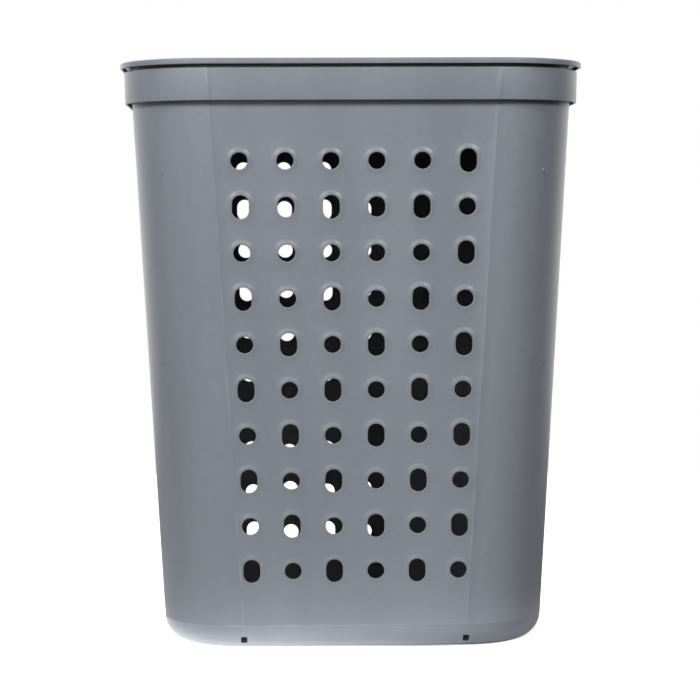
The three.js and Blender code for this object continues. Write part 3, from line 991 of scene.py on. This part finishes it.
def lid_profile():
    """From the middle of the underside out over the ring, the seat and the lip, and back over the top."""
    underside = lid_top - LID_PLATE
    ring_out = LID_OVERHANG + BAND_REACH + BAND_LEAN * BAND_HEIGHT + WALL + LOCATING_RING_GAP
    ring_in = ring_out + LOCATING_RING_WALL
    ring_foot = rim_top - LOCATING_RING_DROP
    seat = rim_top + SEAT_GAP
    seat_end = ring_out - SEAT_WIDTH
    below = crown(underside)
    over_ring = np.interp(ring_in, *below.T)
    lip = LIP_FOOT_RADIUS
    edge = LID_EDGE_RADIUS
    return np.concatenate([
        below[below[:, 0] > ring_in + FILLET_ROOM][::-1],
        [[ring_in + RING_FILLET, over_ring], [ring_in, underside]],
        [[ring_in, ring_foot + SMALL_CHAMFER], [ring_in - SMALL_CHAMFER, ring_foot]],
        [[ring_out + RING_CHAMFER, ring_foot], [ring_out, ring_foot + 2 * RING_CHAMFER], [ring_out, seat]],
        [[seat_end, seat], [seat_end, underside], [LID_LIP + LIP_CHAMFER, underside]],
        [[LID_LIP, underside - LIP_CHAMFER], [LID_LIP, lid_bottom + SMALL_CHAMFER]],
        [[LID_LIP - SMALL_CHAMFER, lid_bottom]],
        quarter_round(lip, lid_bottom + lip, -lip, lip, -1, 0, LIP_STEPS),
        quarter_round(edge, lid_top - edge, -edge, edge, 0, 1, LID_EDGE_STEPS),
        crown(lid_top)[1:],
    ])


def lid_patches():
    """The swept profile, closed by a fan in the middle of the underside and one in that of the top."""
    skin = lid_surface(lid_profile())
    return [
        closed_grid(skin),
        fan(skin[0], (0, centre_y, skin[0, 0, 2]), True),
        fan(skin[-1], (0, centre_y, skin[-1, 0, 2]), False),
    ]


lid = new_object("lid_moulding", lid_patches())
print("lid faces", len(lid.data.polygons), "size in mm", [round(v / MM, 1) for v in lid.dimensions])

# %% [markdown]
# A knuckle is an arm from the lid's back edge round the pin, with a nose that points back and
# down. When the lid has swung fully open, the nose meets the back of the band and stops it. The
# knuckle is star shaped about the pin too, so it is made as the ears are.

# %% Knuckles
STOP_NOSE = 3 * MM
NOSE_TIP = 2 * MM
OPEN_LIMIT = radians(105)
STOP_CLEARANCE = 0.5 * MM
KNUCKLE_ARC_STEPS = 33
KNUCKLE_RAYS = 96

nose_length = KNUCKLE_RADIUS + STOP_NOSE - NOSE_TIP
stop_reach = axis_y - band_back - STOP_CLEARANCE - NOSE_TIP
nose_dip = pi - acos(stop_reach / nose_length) - OPEN_LIMIT


def nose_reach(directions):
    """How far each ray runs inside the nose, a bar with a round tip.

    It leaves the bar's side at half the bar's thickness over sine. Past the side's end, it leaves the
    far side of the tip's circle.
    """
    turn = (directions + nose_dip + pi) % (2 * pi) - pi
    sine, cosine = np.abs(np.sin(turn)), np.cos(turn)
    beside = NOSE_TIP / np.maximum(sine, 1e-9)
    past = nose_length * cosine + np.sqrt(np.maximum(NOSE_TIP**2 - (nose_length * sine) ** 2, 0))
    reach = np.where(beside * cosine <= nose_length, beside, past)
    return np.where(cosine > 0, reach, 0)


def knuckle_patch(x):
    """The arm and barrel as a convex polygon about the axis, with the nose where that reaches further."""
    lip = lid_back - LID_LIP - axis_y
    low, high = lid_bottom - axis_z, lid_top - LID_EDGE_RADIUS - axis_z
    corners = np.concatenate([
        arc(180, 360, KNUCKLE_RADIUS, KNUCKLE_ARC_STEPS),
        [[KNUCKLE_RADIUS, low + LID_EDGE_RADIUS], [KNUCKLE_RADIUS - LID_EDGE_RADIUS, high]],
        [[lip, high], [lip, low]],
    ])
    directions = rays_through(corners, KNUCKLE_RAYS)
    reach = np.maximum(polygon_reach(corners, directions), nose_reach(directions))
    return bored_plate(directions, reach, x, KNUCKLE_WIDTH)


combine(lid, "UNION", [knuckle_patch(side * hinge_x) for side in (-1, 1)])
shade_smooth(lid)
print("lid faces with knuckles", len(lid.data.polygons))

# %% [markdown]
# ## Hinge pins
# A pin is moulded round, so it is a profile of radius and length carried round the hinge axis.
# It has a domed head outside one ear and a snap tip outside the other. A cylinder with bevels
# would be close, but the profile gives the dome and the snap in one go.

# %% Pins
PIN_HEAD_RADIUS = 3.75 * MM
PIN_HEAD = 1.6 * MM
PIN_TIP = 2.2 * MM
PIN_FILLET = 0.2 * MM
PIN_ROUND_STEPS = 40
DOME_STEPS = 5


def pin_profile():
    """Pairs (radius, place along the pin) from the middle of the head to the middle of the tip."""
    half = ear_offset + EAR_WIDTH / 2 + PIN_CLEARANCE
    edge = PIN_HEAD / 2
    snap = PIN_RADIUS + 2 * PIN_CLEARANCE
    end = half + PIN_TIP
    return np.concatenate([
        [[0, -half - PIN_HEAD]],
        corner_round(PIN_HEAD_RADIUS - edge, -half - edge, edge, -1, 0, DOME_STEPS),
        [[PIN_HEAD_RADIUS, -half], [PIN_RADIUS + PIN_FILLET, -half], [PIN_RADIUS, -half + PIN_FILLET]],
        [[PIN_RADIUS, half], [snap, half], [snap, half + SMALL_CHAMFER]],
        [[PIN_RADIUS - PIN_CLEARANCE, end - SMALL_CHAMFER], [PIN_RADIUS - 2 * PIN_CLEARANCE, end]],
        [[0, end]],
    ])


def hinge_pin(name, side):
    """A pin whose head faces the middle of the lid's back edge."""
    radius, along = pin_profile().T[:, :, None]
    angle = np.linspace(0, 2 * pi, PIN_ROUND_STEPS + 1)[:-1]
    x = side * (hinge_x + along) + 0 * angle
    y, z = axis_y + radius * np.cos(angle), axis_z + radius * np.sin(angle)
    points, quads = closed_grid(np.stack([x, y, z], 2))
    return new_object(name, [(points, quads[:, ::-1] if side < 0 else quads)])


pin_left = hinge_pin("hinge_pin_left_moulding", -1)
pin_right = hinge_pin("hinge_pin_right_moulding", 1)
for pin, node in ((pin_left, "hinge_pin_left"), (pin_right, "hinge_pin_right")):
    low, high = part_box(node)
    print(node, "is", round((high.x - low.x) / MM, 1), "mm long, and here", round(pin.dimensions.x / MM, 1))

# %% [markdown]
# ## Moulded polypropylene
# Polypropylene is a soft, slightly waxy plastic. From a lightly sparked steel mould it comes out
# satin: a fine even grain of about half a millimetre that spreads highlights. The melt flows in
# from the gates, which leaves faint tall streaks and clouds in the shade and the gloss. The
# index of refraction is 1.49. The pins are acetal, which is harder and smoother. Its index is
# nearly the same, so one function makes all three plastics.
#
# On the tub the slide of the panel is polished a little brighter than the rest of the mould, most
# of all on the band, and the raised line of flash gets a painted highlight, paler in patches. Both follow
# the panel's own edges, so two masks are worked out from the height and the distance to the side.

# %% Masks of the tub's panel
# The painted highlight along the line of flash comes in patches: its least strength, the patch size and
# where noise fades it in.
FLASH_HIGHLIGHT_LOW = 0.15
FLASH_HIGHLIGHT_PATCH = 25 * MM
FLASH_HIGHLIGHT_START = 0.35
FLASH_HIGHLIGHT_FULL = 0.75
CREST_FULL = 0.2 * MM
CREST_END = 0.7 * MM
SKIN_START = 1.4 * MM
SKIN_FULL = 0.7 * MM
PANEL_EDGE = 1.2 * MM


def parting_masks(tree, place):
    """Two masks from 0 to 1 on the outer face of the panel's wall, and the height they are worked out from.

    The first is the painted highlight on the crest of the flash, and the second is the face between its two
    lines. A line lies at the panel's half width: that at the floor, plus the panel's lean times the height.
    The outer face lies where the distance from the middle, less the wall's lean times the height,
    is what it is at the band.
    """
    parts = add_node(tree, "ShaderNodeSeparateXYZ", Vector=place)
    z = parts.outputs["Z"]
    aside = add_node(tree, "ShaderNodeMath", {"operation": "ABSOLUTE"}, _0=parts.outputs["X"])
    line = add_node(
        tree, "ShaderNodeMath", {"operation": "MULTIPLY_ADD"}, _0=z, _1=PANEL_LEAN, _2=panel_half(0)
    )
    inwards = add_node(tree, "ShaderNodeMath", {"operation": "SUBTRACT"}, _0=line, _1=aside)
    upright_line = add_node(tree, "ShaderNodeMath", {"operation": "ABSOLUTE"}, _0=inwards)
    above = add_node(tree, "ShaderNodeMath", {"operation": "SUBTRACT"}, _0=z, _1=FOOT_FILLET)
    level_line = add_node(tree, "ShaderNodeMath", {"operation": "ABSOLUTE"}, _0=above)
    nearest = add_node(tree, "ShaderNodeMath", {"operation": "MINIMUM"}, _0=upright_line, _1=level_line)
    crest = add_node(
        tree, "ShaderNodeMapRange",
        Value=nearest, From_Min=CREST_FULL, From_Max=CREST_END, To_Min=1, To_Max=0,
    )
    # Painted highlight: patches of noise set how strongly the crest of the flash is painted paler.
    patchy = add_node(tree, "ShaderNodeTexNoise", Vector=place, Scale=1 / FLASH_HIGHLIGHT_PATCH, Detail=2)
    highlight_strength = add_node(
        tree, "ShaderNodeMapRange", SMOOTH,
        Value=patchy, From_Min=FLASH_HIGHLIGHT_START, From_Max=FLASH_HIGHLIGHT_FULL, To_Min=FLASH_HIGHLIGHT_LOW,
    )
    highlighted = add_node(tree, "ShaderNodeMath", {"operation": "MULTIPLY"}, _0=crest, _1=highlight_strength)
    between = add_node(tree, "ShaderNodeMapRange", Value=inwards, From_Max=PANEL_EDGE)
    y = parts.outputs["Y"]
    off_centre = add_node(tree, "ShaderNodeMath", {"operation": "SUBTRACT"}, _0=y, _1=centre_y)
    depth = add_node(tree, "ShaderNodeMath", {"operation": "ABSOLUTE"}, _0=off_centre)
    face = add_node(tree, "ShaderNodeMath", {"operation": "MULTIPLY_ADD"}, _0=z, _1=-FRONT_LEAN, _2=depth)
    face_at = wall_half_depth - FRONT_LEAN * band_bottom
    outside = add_node(
        tree, "ShaderNodeMapRange", Value=face, From_Min=face_at - SKIN_START, From_Max=face_at - SKIN_FULL
    )
    masks = [
        add_node(tree, "ShaderNodeMath", {"operation": "MULTIPLY"}, _0=mask, _1=outside)
        for mask in (highlighted, between)
    ]
    return *masks, z


# %% Polypropylene
PLASTIC_IOR = 1.49
GRAIN_SIZE = 0.5 * MM
GRAIN_DEPTH = 0.012 * MM
CLOUD_SIZE = 60 * MM
STREAK_STRETCH = 0.16
MOTTLE_SIZE = 6 * MM
MOTTLE_SHARE = 0.3
SHADE_START = 0.35
SHADE_FULL = 0.95
GLOSS_START = 0.3
GLOSS_FULL = 1.0
GLOSS_LESS = 0.03
GLOSS_MORE = 0.05
WAVE_SIZE = 45 * MM
WAVE_DEPTH = 0.05 * MM
# The strongest share of the painted highlight on the flash.
FLASH_HIGHLIGHT_SHARE = 0.5
SLIDE_POLISH = 0.04
BAND_POLISH = 0.1
POLISH_FADE = 60 * MM


def moulded_plastic(name, pale, dark, roughness, highlight_colour=None):
    """Satin moulded plastic between two shades. A highlight colour adds a painted highlight on the flash of
    the tub's panel, and its polish.
    """
    material, tree, shader, place = new_material(name)
    shader.inputs["IOR"].default_value = PLASTIC_IOR
    stretched = add_node(tree, "ShaderNodeMapping", Vector=place, Scale=(1, 1, STREAK_STRETCH))
    clouds = add_node(tree, "ShaderNodeTexNoise", Vector=stretched, Scale=1 / CLOUD_SIZE, Detail=3)
    mottle = add_node(tree, "ShaderNodeTexNoise", Vector=place, Scale=1 / MOTTLE_SIZE, Detail=2)
    blend = add_node(
        tree, "ShaderNodeMath", {"operation": "MULTIPLY_ADD"}, _0=mottle, _1=MOTTLE_SHARE, _2=clouds
    )
    share = add_node(
        tree, "ShaderNodeMapRange", SMOOTH, Value=blend, From_Min=SHADE_START, From_Max=SHADE_FULL
    )
    dark, pale = linear(dark), linear(pale)
    colour = add_node(tree, "ShaderNodeMix", {"data_type": "RGBA"}, _0=share, _6=dark, _7=pale).outputs[2]
    rough = add_node(
        tree, "ShaderNodeMapRange", SMOOTH,
        Value=blend, From_Min=GLOSS_START, From_Max=GLOSS_FULL,
        To_Min=roughness - GLOSS_LESS, To_Max=roughness + GLOSS_MORE,
    )
    if highlight_colour:
        crest, slide, z = parting_masks(tree, place)
        # Painted highlight: the crest of the flash is mixed towards the paler colour.
        highlight_strength = add_node(tree, "ShaderNodeMath", {"operation": "MULTIPLY"}, _0=crest, _1=FLASH_HIGHLIGHT_SHARE)
        highlight_colour = linear(highlight_colour)
        highlighted = add_node(tree, "ShaderNodeMix", {"data_type": "RGBA"}, _0=highlight_strength, _6=colour, _7=highlight_colour)
        colour = highlighted.outputs[2]
        polish = add_node(
            tree, "ShaderNodeMapRange",
            Value=z, From_Min=band_bottom - POLISH_FADE, From_Max=band_bottom,
            To_Min=SLIDE_POLISH, To_Max=BAND_POLISH,
        )
        gloss = add_node(tree, "ShaderNodeMath", {"operation": "MULTIPLY"}, _0=slide, _1=polish)
        rough = add_node(tree, "ShaderNodeMath", {"operation": "SUBTRACT"}, _0=rough, _1=gloss)
    tree.links.new(colour, shader.inputs["Base Color"])
    tree.links.new(rough.outputs[0], shader.inputs["Roughness"])
    grain = add_node(tree, "ShaderNodeTexNoise", Vector=place, Scale=1 / GRAIN_SIZE, Detail=2)
    wave = add_node(tree, "ShaderNodeTexNoise", Vector=place, Scale=1 / WAVE_SIZE, Detail=1)
    fine = add_node(tree, "ShaderNodeBump", Height=grain, Distance=GRAIN_DEPTH)
    broad = add_node(tree, "ShaderNodeBump", Height=wave, Distance=WAVE_DEPTH, Normal=fine)
    tree.links.new(broad.outputs[0], shader.inputs["Normal"])
    print(name, "roughness", roughness, "nodes", len(tree.nodes))
    return material


# The last colour is the painted highlight along the flash of the panel.
tub_plastic = moulded_plastic("satin_moulded_polypropylene_tub", "#8f939c", "#868a93", 0.42, "#b4b8bf")
lid_plastic = moulded_plastic("satin_moulded_polypropylene_lid", "#8f949c", "#878b94", 0.40)
pin_plastic = moulded_plastic("smooth_moulded_acetal_pin", "#7f838c", "#7b7f88", 0.32)

# %% [markdown]
# ## Put the pieces on their bodies
# Every fine piece takes the place of its plain node, rides on the same body and gets its material.

# %% Hand over
PIECES = (
    (tub, "tub", "tub", tub_plastic, "tub_plastic"),
    (lid, "lid", "lid", lid_plastic, "lid_plastic"),
    (pin_left, "hinge_pin_left", "tub", pin_plastic, "pin_plastic"),
    (pin_right, "hinge_pin_right", "tub", pin_plastic, "pin_plastic"),
)
for piece, node, body, material, slot in PIECES:
    piece.data.materials.clear()
    piece.data.materials.append(material)
    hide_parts(node)
    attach(piece, body)
